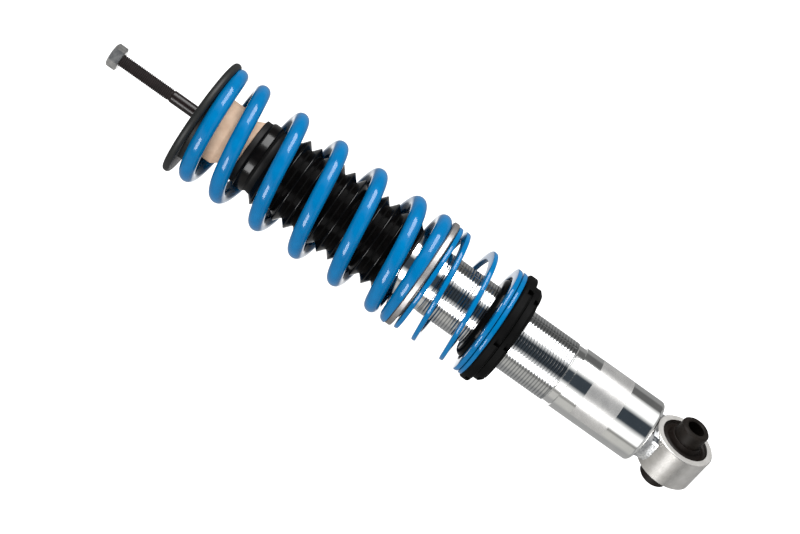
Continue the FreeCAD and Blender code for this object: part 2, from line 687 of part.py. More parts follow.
def show_coil(label, shape):
    """Adds a finished coil to the document."""
    coil = doc.addObject("Part::Feature", label)
    coil.Shape = shape.Solids[0]
    coil.Label = label
    parts.append(coil)


def make_main_spring():
    """Round-wire main spring: a closed, ground turn at its foot, even active turns and a half-open,
    ground turn under the plate."""
    wire = number("Sizes.spring_wire")
    radius = number("Sizes.spring_bore / 2 + Sizes.spring_wire / 2")
    low = number("Places.coupler_top + Sizes.seat_gap")
    high = number("Places.plate_bottom - Sizes.seat_gap")
    turns = number("Sizes.spring_turns")
    closed = number("Sizes.spring_wire + Sizes.spring_closed_gap")
    top_rise = number("Sizes.spring_wire + Sizes.spring_top_gap")
    overrun = wire / 2 - number("Sizes.tip_thickness")

    def stations(active):
        return [(0.0, closed), (0.94, closed), (1.6, active), (turns - 1.45, active),
                (turns - 1.15, top_rise), (turns, top_rise)]

    active = solve_rise(stations, high - low + 2 * overrun)
    run = stations(active)
    path, (start, along) = coil_path(radius, low - overrun, number("Sizes.spring_angle"), run)
    ring = Part.Wire(Part.Circle(start, along, wire / 2).toShape())
    shell = Part.BRepOffsetAPI.MakePipeShell(path)
    shell.add(ring)
    shell.build()
    shell.makeSolid()
    print("main spring: rise per turn", round(active, 2), "least gap", round(least_gap(radius, run, wire), 2))
    show_coil("main_spring", ground_ends(shell.shape(), radius + wire, low, high))


def make_helper_spring():
    """Helper spring wound from flat strip, with a closed, ground turn at each end."""
    width = number("Sizes.strip_width")
    thick = number("Sizes.strip_thickness")
    radius = number("Places.helper_inner + Sizes.strip_width / 2")
    low = number("Places.perch_seat + Sizes.seat_gap")
    high = number("Places.coupler_bottom - Sizes.seat_gap")
    turns = number("Sizes.helper_turns")
    closed = number("Sizes.strip_thickness + Sizes.helper_closed_gap")
    overrun = number("Sizes.helper_tip") - thick / 2

    def stations(active):
        return [(0.0, closed), (1.5, closed), (2.0, active), (turns - 1.45, active),
                (turns - 1.0, closed), (turns, closed)]

    active = solve_rise(stations, high - low + 2 * overrun)
    run = stations(active)
    path, (start, along) = coil_path(radius, low - overrun, number("Sizes.helper_angle"), run)
    out = FreeCAD.Vector(start.x, start.y, 0).normalize()
    up = FreeCAD.Vector(0, 0, 1)
    corners = [start + out * (side * width / 2) + up * (rise * thick / 2)
               for side, rise in ((-1, -1), (1, -1), (1, 1), (-1, 1))]
    shell = Part.BRepOffsetAPI.MakePipeShell(path)
    shell.setBiNormalMode(up)
    shell.add(Part.makePolygon(corners + corners[:1]))
    shell.build()
    shell.makeSolid()
    print("helper spring: rise per turn", round(active, 2), "least gap",
          round(least_gap(radius, run, thick), 2))
    show_coil("helper_spring", ground_ends(shell.shape(), radius + width, low, high))


def make_piston_rod():
    """Ground rod from its piston spigot up to the threaded pin that the top mount is bolted to."""
    rod = "Sizes.rod_diameter / 2"
    pin = "Sizes.pin_diameter / 2"
    spigot = "Sizes.spigot_diameter / 2"
    length = "Places.rod_tip - Places.rod_bottom"
    shoulder = "Places.rod_shoulder - Places.rod_bottom"
    step = "Places.spigot_top - Places.rod_bottom"
    body = turned_body("piston_rod", [
        ("0", "0"), (f"{spigot} - Sizes.spigot_edge", "0"), (spigot, "Sizes.spigot_edge"),
        (spigot, step), (rod, step),
        (rod, shoulder), (pin, shoulder + " + Sizes.pin_taper"), (pin, length + " - Sizes.pin_edge"),
        (pin + " - Sizes.pin_edge", length), ("0", length),
    ])
    keep(body, "piston_rod", "Places.rod_bottom")


def make_tube_head():
    """What closes the tube's top: guide with its bush, seals, circlip and pressed cap."""
    wall = "Places.guide_radius"
    bush = "Places.rod_fit_radius + Sizes.guide_bush_wall"
    seal = "Sizes.seal_diameter / 2"
    seal_floor = "Sizes.guide_length - Sizes.seal_height"
    guide = turned_body("rod_guide", [
        (bush, "0"), (wall, "0"), (wall, "Sizes.guide_length"), (seal, "Sizes.guide_length"),
        (seal, seal_floor), (bush, seal_floor),
    ])
    groove = "Places.guide_groove - Places.guide_bottom"
    half = "Sizes.ring_groove_width / 2"
    turned_groove(guide, "guide_groove", [
        ("Places.seal_groove_radius", f"{groove} - {half}"), (wall + " + 1", f"{groove} - {half}"),
        (wall + " + 1", f"{groove} + {half}"), ("Places.seal_groove_radius", f"{groove} + {half}"),
    ])
    keep(guide, "rod_guide", "Places.guide_bottom")
    bush_body = turned_body("guide_bush", ring_corners("Places.rod_fit_radius", bush, seal_floor))
    keep(bush_body, "guide_bush", "Places.guide_bottom")
    seal_body = turned_body("rod_seal", [
        ("Places.rod_fit_radius", "1.2"), ("Places.rod_fit_radius + 1.6", "0"), (seal, "0"),
        (seal, "Sizes.seal_height"), ("Places.rod_fit_radius + 1.6", "Sizes.seal_height"),
        ("Places.rod_fit_radius", "Sizes.seal_height - 1.2"),
    ])
    keep(seal_body, "rod_seal", "Places.guide_top - Sizes.seal_height")
    circlip = turned_body("circlip", ring_corners(
        "Places.bore_radius + Sizes.circlip_depth - Sizes.circlip_width",
        "Places.bore_radius + Sizes.circlip_depth", "Sizes.circlip_thickness"))
    keep(circlip, "circlip", "Places.guide_top")
    hole = "Sizes.cap_hole / 2"
    cap = turned_body("tube_cap", [
        (hole, "-Sizes.cap_spigot"), (wall, "-Sizes.cap_spigot"), (wall, "0"),
        ("Sizes.head_diameter / 2", "0"), ("Sizes.head_diameter / 2", "Sizes.cap_thickness"),
        (hole, "Sizes.cap_thickness"),
    ])
    ease_edges(cap, "Chamfer", "cap_bevel",
               circle_edges(cap, "Sizes.head_diameter / 2", "Sizes.cap_thickness"),
               "Sizes.cap_thickness / 2")
    keep(cap, "tube_cap", "Places.tube_top")


def seal_ring(label, height):
    """Square-section rubber ring in its groove, against the tube's bore."""
    ring = turned_body(label, ring_corners(
        "Places.seal_groove_radius", "Places.bore_radius - Sizes.rod_fit", "Sizes.ring_section"))
    keep(ring, label, f"{height} - Sizes.ring_section / 2")


def make_rebound_stop():
    """Ring fixed on the rod and the rubber bumper above it, which meet the guide at full droop."""
    stop = turned_body("rebound_stop", ring_corners(
        "Sizes.rod_diameter / 2", "Sizes.stop_diameter / 2", "Sizes.stop_height"))
    ease_edges(stop, "Chamfer", "stop_bevel", circle_edges(stop, "Sizes.stop_diameter / 2", "0"),
               "Sizes.stop_edge")
    keep(stop, "rebound_stop", "Places.spigot_top")
    bumper = turned_body("rebound_bumper", ring_corners(
        "Sizes.rod_diameter / 2", "Sizes.bumper_diameter / 2", "Sizes.bumper_height"))
    ease_edges(bumper, "Chamfer", "bumper_bevel",
               circle_edges(bumper, "Sizes.bumper_diameter / 2", "Sizes.bumper_height"),
               "Sizes.bumper_edge")
    keep(bumper, "rebound_bumper", "Places.bumper_bottom")


def make_shims(label, count, widest, height, upwards):
    """Stack of thin valve discs, the widest against the piston."""
    discs = []
    for index in range(int(number(count))):
        disc = doc.addObject("Part::Cylinder", f"{label}_disc_{index + 1}")
        disc.setExpression("Radius", f"{widest} / 2 - {index} * Sizes.shim_step / 2")
        disc.setExpression("Height", "Sizes.shim_thickness")
        hole = doc.addObject("Part::Cylinder", f"{label}_hole_{index + 1}")
        hole.setExpression("Radius", "Sizes.spigot_diameter / 2")
        hole.setExpression("Height", "Sizes.shim_thickness")
        cut = doc.addObject("Part::Cut", f"{label}_shim_{index + 1}")
        cut.Base = disc
        cut.Tool = hole
        place = f"{index} * Sizes.shim_thickness" if upwards else f"-{index + 1} * Sizes.shim_thickness"
        cut.setExpression("Placement.Base.z", place)
        discs.append(cut)
    stack = doc.addObject("Part::Compound", label)
    stack.Links = discs
    doc.recompute()
    keep(stack, label, height)


def port_ring(body, name, radius, turn):
    """Oil passages through the piston, evenly spaced on one radius."""
    sketch = new_sketch(body, name + "_outline", "XY_Plane")
    draw_circle(sketch, "Sizes.port_diameter / 2", f"{radius} * cos({turn} deg)",
                f"{radius} * sin({turn} deg)")
    pocket = cut_pocket(body, sketch, name)
    ring_of_cuts(body, pocket, sketch, "Sizes.port_count")


def make_piston():
    """Working piston with its band, the two rings of oil passages and a raised seat on each face."""
    wall = "Places.bore_radius - Sizes.piston_clearance"
    height = "Sizes.piston_height"
    spigot = "Sizes.spigot_diameter / 2"
    low_seat = "Sizes.rebound_shim / 2"
    high_seat = "Sizes.compression_shim / 2"
    body = turned_body("working_piston", [
        (spigot, "0"), (low_seat, "0"), (low_seat, "Sizes.valve_seat_depth"),
        (wall, "Sizes.valve_seat_depth"), (wall, f"{height} - Sizes.valve_seat_depth"),
        (high_seat, f"{height} - Sizes.valve_seat_depth"), (high_seat, height), (spigot, height),
    ])
    band_floor = "Places.bore_radius - Sizes.rod_fit - Sizes.band_thickness"
    low = f"({height} - Sizes.band_width) / 2"
    high = f"({height} + Sizes.band_width) / 2"
    turned_groove(body, "band_groove", [
        (band_floor, low), (wall + " + 1", low), (wall + " + 1", high), (band_floor, high),
    ])
    port_ring(body, "compression_port", "Sizes.compression_port_radius", 0)
    port_ring(body, "rebound_port", "Sizes.rebound_port_radius", 30)
    keep(body, "working_piston", "Places.piston_bottom")
    band = turned_body("piston_band", ring_corners(
        band_floor, "Places.bore_radius - Sizes.rod_fit", "Sizes.band_width"))
    keep(band, "piston_band", "Places.piston_bottom + (Sizes.piston_height - Sizes.band_width) / 2")


def make_valve_washers():
    """Thick washers that back the two shim stacks."""
    washers = []
    for name, height in (("upper", "Places.upper_washer"), ("lower", "Places.lower_washer")):
        disc = doc.addObject("Part::Cylinder", name + "_disc")
        disc.setExpression("Radius", "Sizes.backing_diameter / 2")
        disc.setExpression("Height", "Sizes.backing_washer")
        hole = doc.addObject("Part::Cylinder", name + "_hole")
        hole.setExpression("Radius", "Sizes.spigot_diameter / 2")
        hole.setExpression("Height", "Sizes.backing_washer")
        cut = doc.addObject("Part::Cut", name + "_washer")
        cut.Base = disc
        cut.Tool = hole
        cut.setExpression("Placement.Base.z", height)
        washers.append(cut)
    pair = doc.addObject("Part::Compound", "valve_washers")
    pair.Links = washers
    doc.recompute()
    keep(pair, "valve_washers")


def make_floating_piston():
    """Cup that keeps the gas below apart from the oil above, hollow on the gas side."""
    wall = "Places.floating_radius"
    inner = "Places.floating_radius - Sizes.floating_wall"
    roof = "Sizes.floating_height - Sizes.floating_wall"
    body = turned_body("floating_piston", [
        ("0", roof), (inner, roof), (inner, "0"), (wall, "0"), (wall, "Sizes.floating_height"),
        ("0", "Sizes.floating_height"),
    ])
    groove = "Sizes.floating_height - Sizes.floating_groove_drop"
    half = "Sizes.ring_groove_width / 2"
    turned_groove(body, "floating_groove", [
        ("Places.seal_groove_radius", f"{groove} - {half}"), (wall + " + 1", f"{groove} - {half}"),
        (wall + " + 1", f"{groove} + {half}"), ("Places.seal_groove_radius", f"{groove} + {half}"),
    ])
    keep(body, "floating_piston", "Places.floating_bottom")


def make_all():
    """Every sub-part of the strut, from the eye up."""
    make_bush_sleeve()
    make_bush_rubber()
    make_lower_eye()
    make_eye_weld()
    make_damper_tube()
    make_spring_perch()
    make_lock_ring()
    make_helper_spring()
    make_spring_coupler()
    make_main_spring()
    make_upper_plate()
    make_bump_stop()
    make_dust_boot()
    make_piston_rod()
    make_tube_head()
    seal_ring("guide_seal_ring", "Places.guide_groove")
    make_rebound_stop()
    make_shims("compression_shims", "Sizes.compression_shims", "Sizes.compression_shim",
               "Places.piston_top", upwards=True)
    make_shims("rebound_shims", "Sizes.rebound_shims", "Sizes.rebound_shim",
               "Places.piston_bottom", upwards=False)
    make_piston()
    make_valve_washers()
    hex_nut("piston_nut", "Sizes.piston_nut_flats", "Sizes.piston_nut_height",
            "Sizes.spigot_diameter / 2 + Sizes.nut_clearance", "Places.piston_nut_bottom")
    make_floating_piston()
    seal_ring("floating_seal_ring",
              "Places.floating_bottom + Sizes.floating_height - Sizes.floating_groove_drop")
    hex_nut("top_nut", "Sizes.nut_flats", "Sizes.nut_height",
            "Sizes.pin_diameter / 2 + Sizes.nut_clearance", "Places.nut_bottom",
            number("Sizes.nut_angle"))


def check_document():
    """Stops before anything is written if an object failed or a sub-part has no sound shape."""
    for item in doc.Objects:
        if "Invalid" in item.State or "Error" in item.State:
            raise RuntimeError(f"{item.Label} failed: {item.State}")
    for part in parts:
        if part.Shape.isNull() or not part.Shape.isValid() or part.Shape.Volume <= 0:
            raise RuntimeError(f"{part.Label} has no sound shape")


make_all()
doc.recompute()
check_document()
os.makedirs("parts", exist_ok=True)
for part in parts:
    part.Shape.exportStep(os.path.join("parts", part.Label + ".step"))
    print(part.Label, len(part.Shape.Solids), round(part.Shape.Volume, 1))
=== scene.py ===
import math

import bmesh
import bpy
from mathutils import Matrix, Vector


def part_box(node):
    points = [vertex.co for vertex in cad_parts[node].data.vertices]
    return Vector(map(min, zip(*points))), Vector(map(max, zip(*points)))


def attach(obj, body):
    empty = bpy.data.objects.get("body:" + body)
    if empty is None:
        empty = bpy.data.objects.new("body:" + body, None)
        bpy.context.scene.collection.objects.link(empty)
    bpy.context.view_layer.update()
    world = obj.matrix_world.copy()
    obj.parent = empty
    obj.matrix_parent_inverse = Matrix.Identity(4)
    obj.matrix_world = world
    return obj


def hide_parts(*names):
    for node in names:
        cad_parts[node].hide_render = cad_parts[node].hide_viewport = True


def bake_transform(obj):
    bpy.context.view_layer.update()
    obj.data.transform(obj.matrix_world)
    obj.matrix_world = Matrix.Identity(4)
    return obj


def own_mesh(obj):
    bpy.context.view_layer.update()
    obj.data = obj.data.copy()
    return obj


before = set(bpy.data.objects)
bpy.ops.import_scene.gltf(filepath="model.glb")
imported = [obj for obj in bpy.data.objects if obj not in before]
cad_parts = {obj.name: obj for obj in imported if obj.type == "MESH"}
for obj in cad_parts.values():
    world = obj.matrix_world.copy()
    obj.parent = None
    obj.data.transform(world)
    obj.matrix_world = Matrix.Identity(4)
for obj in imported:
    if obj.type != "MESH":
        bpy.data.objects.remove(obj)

# Looks for the coil-over strut. Metres, in the CAD frame: +Z up the strut to the rod's pin, X along
# the eye's bolt hole, origin at the middle of that hole.

MM = 0.001
TURN = 2 * math.pi
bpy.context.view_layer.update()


# Small helpers

def box_top(name):
    """Upper Z of a CAD node."""
    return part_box(name)[1].z


def box_foot(name):
    """Lower Z of a CAD node."""
    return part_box(name)[0].z


def box_radius(name):
    """Outer radius of a round CAD node about the strut's axis."""
    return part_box(name)[1].y


def linear(code):
    """Linear colour for a shader from an sRGB hex code."""
    values = [int(code[place:place + 2], 16) / 255 for place in (1, 3, 5)]
    return tuple(v / 12.92 if v <= 0.04045 else ((v + 0.055) / 1.055) ** 2.4 for v in values) + (1.0,)


def add(tree, kind, inputs=None, **settings):
    """Adds a node; each input takes a plain value or another node's output."""
    made = tree.nodes.new(kind)
    for name, value in settings.items():
        setattr(made, name, value)
    for socket, value in (inputs or {}).items():
        if isinstance(value, bpy.types.NodeSocket):
            tree.links.new(value, made.inputs[socket])
        else:
            made.inputs[socket].default_value = value
    return made


def new_material(name, **settings):
    """A material with one Principled shader; settings are its socket names with _ for a space."""
    material = bpy.data.materials.new(name)
    material.use_nodes = True
    tree = material.node_tree
    shader = tree.nodes["Principled BSDF"]
    for socket, value in settings.items():
        shader.inputs[socket.replace("_", " ")].default_value = value
    return material, tree, shader


def place(tree):
    """Coordinates that stay fixed on the piece, in metres."""
    return add(tree, "ShaderNodeTexCoord").outputs["Object"]


def ramp(tree, value, stops):
    """Colour ramp from (position, colour) stops."""
    made = add(tree, "ShaderNodeValToRGB", {"Fac": value})
    elements = made.color_ramp.elements
    while len(elements) < len(stops):
        elements.new(0.5)
    for element, (position, colour) in zip(elements, stops):
        element.position = position
        element.color = colour
    return made.outputs["Color"]


def spread(tree, value, low, high, start=0.0, stop=1.0):
    """Maps a value that runs from start to stop to a range, and holds it at the ends."""
    return add(tree, "ShaderNodeMapRange", {
        "Value": value, "From Min": start, "From Max": stop, "To Min": low, "To Max": high,
    }).outputs["Result"]


def height_of(tree, vector):
    """Height on the strut, in metres."""
    return add(tree, "ShaderNodeSeparateXYZ", {"Vector": vector}).outputs["Z"]


def radius_of(tree, vector):
    """Distance from the strut's axis, in metres."""
    flat = add(tree, "ShaderNodeVectorMath", {0: vector, 1: (1.0, 1.0, 0.0)}, operation="MULTIPLY")
    return add(tree, "ShaderNodeVectorMath", {0: flat.outputs[0]}, operation="LENGTH").outputs["Value"]


def bump(tree, shader, height, strength, depth):
    """Joins a height field to the shader as a bump of that depth in metres."""
    made = add(tree, "ShaderNodeBump", {"Height": height, "Strength": strength, "Distance": depth})
    tree.links.new(made.outputs["Normal"], shader.inputs["Normal"])


def noise(tree, vector, size, detail=3.0, roughness=0.5):
    """Noise whose blotches are about the given size in metres."""
    return add(tree, "ShaderNodeTexNoise", {
        "Vector": vector, "Scale": 1 / size, "Detail": detail, "Roughness": roughness,
    }).outputs["Fac"]


def turning_lines(tree, vector, spacing):
    """Fine rings round the strut, as a turning tool leaves, a spacing apart."""
    split = add(tree, "ShaderNodeSeparateXYZ", {"Vector": vector})
    along = add(tree, "ShaderNodeMath", {0: split.outputs["Z"], 1: 1 / spacing}, operation="MULTIPLY")
    line = add(tree, "ShaderNodeCombineXYZ", {"Z": along.outputs[0]})
    return add(tree, "ShaderNodeTexNoise", {
        "Vector": line.outputs[0], "Scale": 1.0, "Detail": 2.0,
    }).outputs["Fac"]


THREAD_FOOT = box_foot("damper_tube") + 81.8 * MM
THREAD_TOP = box_foot("damper_tube") + 198 * MM


# Materials

def bright_zinc():
    """Bright zinc plate on turned steel: a hard, nearly neutral mirror broken up by turning lines. It is a
    little greyer on the thread, where painted shade darkens the thread's roots."""
    material, tree, shader = new_material("bright zinc plate", Metallic=1.0)
    where = place(tree)
    tone = noise(tree, where, 12 * MM)
    colour = ramp(tree, tone, [(0.35, linear("#dadbda")), (0.65, linear("#e4e4e2"))])
    # Painted shade: a darker grey, #919395, is mixed into the base colour down in the thread's roots, from
    # the thread's foot up to the head.
    on_thread = spread(tree, height_of(tree, where), 0.0, 1.0, THREAD_FOOT, THREAD_FOOT + 0.5 * MM)
    root_shade_mask = spread(tree, radius_of(tree, where), 1.0, 0.35, 25.84 * MM, 25.96 * MM)
    below_head = spread(tree, height_of(tree, where), 1.0, 0.0, THREAD_TOP - 0.5 * MM, THREAD_TOP)
    root_shade_on_thread = add(tree, "ShaderNodeMath", {0: on_thread, 1: root_shade_mask}, operation="MULTIPLY").outputs[0]
    root = add(tree, "ShaderNodeMath", {0: root_shade_on_thread, 1: below_head}, operation="MULTIPLY").outputs[0]
    root_shaded_colour = add(tree, "ShaderNodeMix", {0: root, 6: colour, 7: linear("#919395")}, data_type="RGBA")
    tree.links.new(root_shaded_colour.outputs[2], shader.inputs["Base Color"])
    lines = turning_lines(tree, where, 0.35 * MM)
    tree.links.new(spread(tree, lines, 0.05, 0.12), shader.inputs["Roughness"])
    bump(tree, shader, lines, 0.08, 0.02 * MM)
    return material


def satin_zinc():
    """Satin zinc plate on a steel ring: grey, with a soft broad highlight and fine pits, and duller on the
    sawn end faces."""
    material, tree, shader = new_material("satin zinc plate", Metallic=1.0)
    where = place(tree)
    tone = noise(tree, where, 6 * MM)
    colour = ramp(tree, tone, [(0.3, linear("#c2c0bc")), (0.7, linear("#d0cecb"))])
    tree.links.new(colour, shader.inputs["Base Color"])
    grain = noise(tree, where, 0.4 * MM, 4.0, 0.7)
    across = add(tree, "ShaderNodeSeparateXYZ", {"Vector": where}).outputs["X"]
    side = add(tree, "ShaderNodeMath", {0: across}, operation="ABSOLUTE").outputs[0]
    rough = spread(tree, side, 0.24, 0.48, 14.3 * MM, 14.8 * MM)
    tree.links.new(rough, shader.inputs["Roughness"])
    bump(tree, shader, grain, 0.05, 0.03 * MM)
    return material


def weld_bead():
    """Zinc plated weld: bright and wet-looking, with cloudy duller spots."""
    material, tree, shader = new_material("zinc plated weld bead", Metallic=1.0)
    tone = noise(tree, place(tree), 1.5 * MM)
    colour = ramp(tree, tone, [(0.3, linear("#b9bbbd")), (0.7, linear("#e0e1e2"))])
    tree.links.new(colour, shader.inputs["Base Color"])
    tree.links.new(spread(tree, tone, 0.12, 0.28), shader.inputs["Roughness"])
    bump(tree, shader, tone, 0.15, 0.08 * MM)
    return material


def black_oxide():
    """Black oxide on ground steel: warm near black, with a soft gloss on the shank and none on the
    oiled thread."""
    material, tree, shader = new_material("black oxide steel", Specular_IOR_Level=0.2)
    where = place(tree)
    tone = noise(tree, where, 4 * MM)
    colour = ramp(tree, tone, [(0.3, linear("#0e0909")), (0.7, linear("#160f0f"))])
    tree.links.new(colour, shader.inputs["Base Color"])
    shank = box_top("upper_spring_plate") + 25 * MM
    height = height_of(tree, where)
    tree.links.new(spread(tree, height, 0.28, 0.85, shank, shank + 1 * MM), shader.inputs["Roughness"])
    return material


def black_phosphate():
    """Phosphated and oiled steel sleeve: brown-black and matte, with fine crystals."""
    material, tree, shader = new_material("phosphated steel", Roughness=0.5, Specular_IOR_Level=0.1)
    where = place(tree)
    tone = noise(tree, where, 4 * MM)
    colour = ramp(tree, tone, [(0.3, linear("#0d0a08")), (0.7, linear("#15110e"))])
    tree.links.new(colour, shader.inputs["Base Color"])
    grain = noise(tree, where, 0.5 * MM)
    bump(tree, shader, grain, 0.12, 0.03 * MM)
    return material


def black_anodised():
    """Black hard-anodised aluminium: near black, glossy on the turned hub inside the spring and matte on
    the blasted flanges."""
    material, tree, shader = new_material("black anodised aluminium", Specular_IOR_Level=0.04)
    where = place(tree)
    tone = noise(tree, where, 6 * MM)
    colour = ramp(tree, tone, [(0.3, linear("#030303")), (0.7, linear("#060606"))])
    tree.links.new(colour, shader.inputs["Base Color"])
    radius = radius_of(tree, where)
    tree.links.new(spread(tree, radius, 0.1, 0.6, 35 * MM, 37 * MM), shader.inputs["Roughness"])
    bump(tree, shader, turning_lines(tree, where, 0.3 * MM), 0.05, 0.02 * MM)
    return material


def black_paint():
    """Black paint on pressed steel: soot black with a soft, even sheen."""
    material, tree, shader = new_material("black paint", Roughness=0.5, Specular_IOR_Level=0.2)
    where = place(tree)
    tone = noise(tree, where, 6 * MM)
    colour = ramp(tree, tone, [(0.3, linear("#0f1010")), (0.7, linear("#151615"))])
    tree.links.new(colour, shader.inputs["Base Color"])
    bump(tree, shader, noise(tree, where, 1.2 * MM), 0.06, 0.03 * MM)
    return material


def blue_powder_coat():
    """Gloss powder coat on spring steel: saturated blue with small sharp highlights and faint orange
    peel."""
    material, tree, shader = new_material("blue gloss powder coat", Specular_IOR_Level=0.21)
    where = place(tree)
    tone = noise(tree, where, 9 * MM)
    colour = ramp(tree, tone, [(0.3, linear("#004f7b")), (0.7, linear("#005582"))])
    tree.links.new(colour, shader.inputs["Base Color"])
    peel = noise(tree, where, 1.6 * MM, 2.0)
    tree.links.new(spread(tree, peel, 0.05, 0.1), shader.inputs["Roughness"])
    bump(tree, shader, peel, 0.03, 0.05 * MM)
    return material


def turned_aluminium():
    """Bare turned aluminium, slightly warm, with rings that the tool leaves."""
    material, tree, shader = new_material("turned aluminium", Metallic=1.0)
    where = place(tree)
    tone = noise(tree, where, 5 * MM)
    colour = ramp(tree, tone, [(0.3, linear("#7f7c79")), (0.7, linear("#939090"))])
    tree.links.new(colour, shader.inputs["Base Color"])
    lines = turning_lines(tree, where, 0.3 * MM)
    tree.links.new(spread(tree, lines, 0.42, 0.58), shader.inputs["Roughness"])
    bump(tree, shader, lines, 0.2, 0.03 * MM)
    return material


def boot_rubber():
    """Moulded chloroprene: black, shiny on the rubbed folds and cuff, and dull down in the hollows."""
    material, tree, shader = new_material("moulded black rubber", Specular_IOR_Level=0.15)
    where = place(tree)
    tone = noise(tree, where, 5 * MM)
    colour = ramp(tree, tone, [(0.3, linear("#030303")), (0.7, linear("#070606"))])
    tree.links.new(colour, shader.inputs["Base Color"])
    rubbed = spread(tree, radius_of(tree, where), 0.55, 0.17, 27.6 * MM, 28.4 * MM)
    tree.links.new(rubbed, shader.inputs["Roughness"])
    grain = noise(tree, where, 0.7 * MM, 4.0, 0.6)
    bump(tree, shader, grain, 0.06, 0.04 * MM)
    return material


def bush_rubber():
    """Natural rubber bonded in the eye: brown-black and matte."""
    material, tree, shader = new_material("natural rubber", Roughness=0.5, Specular_IOR_Level=0.12)
    where = place(tree)
    tone = noise(tree, where, 3 * MM)
    colour = ramp(tree, tone, [(0.3, linear("#090503")), (0.7, linear("#100a07"))])
    tree.links.new(colour, shader.inputs["Base Color"])
    grain = noise(tree, where, 0.6 * MM, 4.0, 0.6)
    bump(tree, shader, grain, 0.2, 0.06 * MM)
    return material


def tan_foam():
    """Moulded cellular polyurethane: pinkish tan, matte, with a skin of tiny closed cells."""
    material, tree, shader = new_material("cellular polyurethane", Roughness=0.7, Specular_IOR_Level=0.3)
    where = place(tree)
    tone = noise(tree, where, 7 * MM)
    colour = ramp(tree, tone, [(0.3, linear("#9b826e")), (0.7, linear("#a68f7b"))])
    tree.links.new(colour, shader.inputs["Base Color"])
    # The real cells are about 0.2 mm; they are drawn at 0.6 mm so that they show.
    cells = add(tree, "ShaderNodeTexVoronoi", {"Vector": where, "Scale": 1 / (0.6 * MM)}).outputs["Distance"]
    bump(tree, shader, cells, 0.2, 0.06 * MM)
    return material


def nut_zinc():
    """Zinc plated cold-formed nut: dull grey, with slightly rubbed corners."""
    material, tree, shader = new_material("zinc plated nut", Metallic=1.0)
    where = place(tree)
    tone = noise(tree, where, 3 * MM)
    colour = ramp(tree, tone, [(0.3, linear("#a8a8a8")), (0.7, linear("#c8c7c4"))])
    tree.links.new(colour, shader.inputs["Base Color"])
    tree.links.new(spread(tree, tone, 0.24, 0.36), shader.inputs["Roughness"])
    bump(tree, shader, tone, 0.06, 0.03 * MM)
    return material


def label_foil():
    """Satin aluminium foil stuck on the tube: pale silver, finely brushed round the tube."""
    material, tree, shader = new_material("satin aluminium foil", Metallic=0.7)
    where = place(tree)
    tone = noise(tree, where, 8 * MM)
    colour = ramp(tree, tone, [(0.3, linear("#a5a4a3")), (0.7, linear("#b3b2b0"))])
    tree.links.new(colour, shader.inputs["Base Color"])
    grain = noise(tree, where, 0.3 * MM)
    tree.links.new(spread(tree, grain, 0.24, 0.32), shader.inputs["Roughness"])
    return material


def plain_steel():
    """Ground steel of the parts inside the tube."""
    material, tree, shader = new_material("ground steel", Metallic=1.0, Roughness=0.28)
    where = place(tree)
    tone = noise(tree, where, 3 * MM)
    colour = ramp(tree, tone, [(0.3, linear("#9a9c9f")), (0.7, linear("#b9bbbe"))])
    tree.links.new(colour, shader.inputs["Base Color"])
    lines = turning_lines(tree, where, 0.3 * MM)
    tree.links.new(spread(tree, lines, 0.22, 0.36), shader.inputs["Roughness"])
    return material


def bearing_bronze():
    """Bronze-backed bearing strip."""
    material, tree, shader = new_material("bearing bronze", Metallic=1.0, Roughness=0.3)
    tone = noise(tree, place(tree), 2 * MM)
    colour = ramp(tree, tone, [(0.3, linear("#a47a42")), (0.7, linear("#c0935a"))])
    tree.links.new(colour, shader.inputs["Base Color"])
    return material


def band_plastic():
    """Filled PTFE of the piston band: brown, waxy and matte."""
    material, tree, shader = new_material("filled PTFE", Roughness=0.5)
    tone = noise(tree, place(tree), 2 * MM)
    colour = ramp(tree, tone, [(0.3, linear("#5a4028")), (0.7, linear("#6e5236"))])
    tree.links.new(colour, shader.inputs["Base Color"])
    return material


# Mesh builders

def rounded(corners, steps=6):
    """Outline through (radius, height, rounding) corners, each rounding an arc of that radius."""
    outline = []
    count = len(corners)
    for index, (radius, height, rounding) in enumerate(corners):
        here = Vector((radius, height))
        if rounding <= 0 or index in (0, count - 1):
            outline.append(here)
            continue
        before = Vector(corners[index - 1][:2]) - here
        after = Vector(corners[index + 1][:2]) - here
        half = before.angle(after) / 2
        reach = rounding / math.tan(half)
        centre = here + (before.normalized() + after.normalized()).normalized() * (rounding / math.sin(half))
        start = here + before.normalized() * reach - centre
        stop = here + after.normalized() * reach - centre
        sweep = start.angle_signed(stop)
        for step in range(steps + 1):
            share = -sweep * step / steps
            outline.append(centre + Matrix.Rotation(share, 2) @ start)
    return outline


def grid_mesh(name, rows, closed_rows=False):
    """Mesh from rows of points, each row a closed ring; rows may join last to first."""
    points = [point for row in rows for point in row]
    width = len(rows[0])
    faces = []
    last = len(rows) if closed_rows else len(rows) - 1
    for index in range(last):
        low = index * width
        high = (index + 1) % len(rows) * width
        for column in range(width):
            following = (column + 1) % width
            faces.append((low + column, low + following, high + following, high + column))
    mesh = bpy.data.meshes.new(name)
    mesh.from_pydata(points, [], faces)
    return mesh


def finish_piece(mesh, material, stands_for=(), sharp=35):
    """Object for a finished mesh, smooth except at edges sharper than the angle, in degrees."""
    work = bmesh.new()
    work.from_mesh(mesh)
    bmesh.ops.remove_doubles(work, verts=work.verts, dist=0.0001 * MM)
    bmesh.ops.recalc_face_normals(work, faces=work.faces)
    work.to_mesh(mesh)
    work.free()
    mesh.validate()
    piece = bpy.data.objects.new(mesh.name, mesh)
    bpy.context.scene.collection.objects.link(piece)
    mesh.materials.append(material)
    mesh.shade_smooth()
    mesh.set_sharp_from_angle(angle=math.radians(sharp))
    if stands_for:
        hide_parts(*stands_for)
    return piece


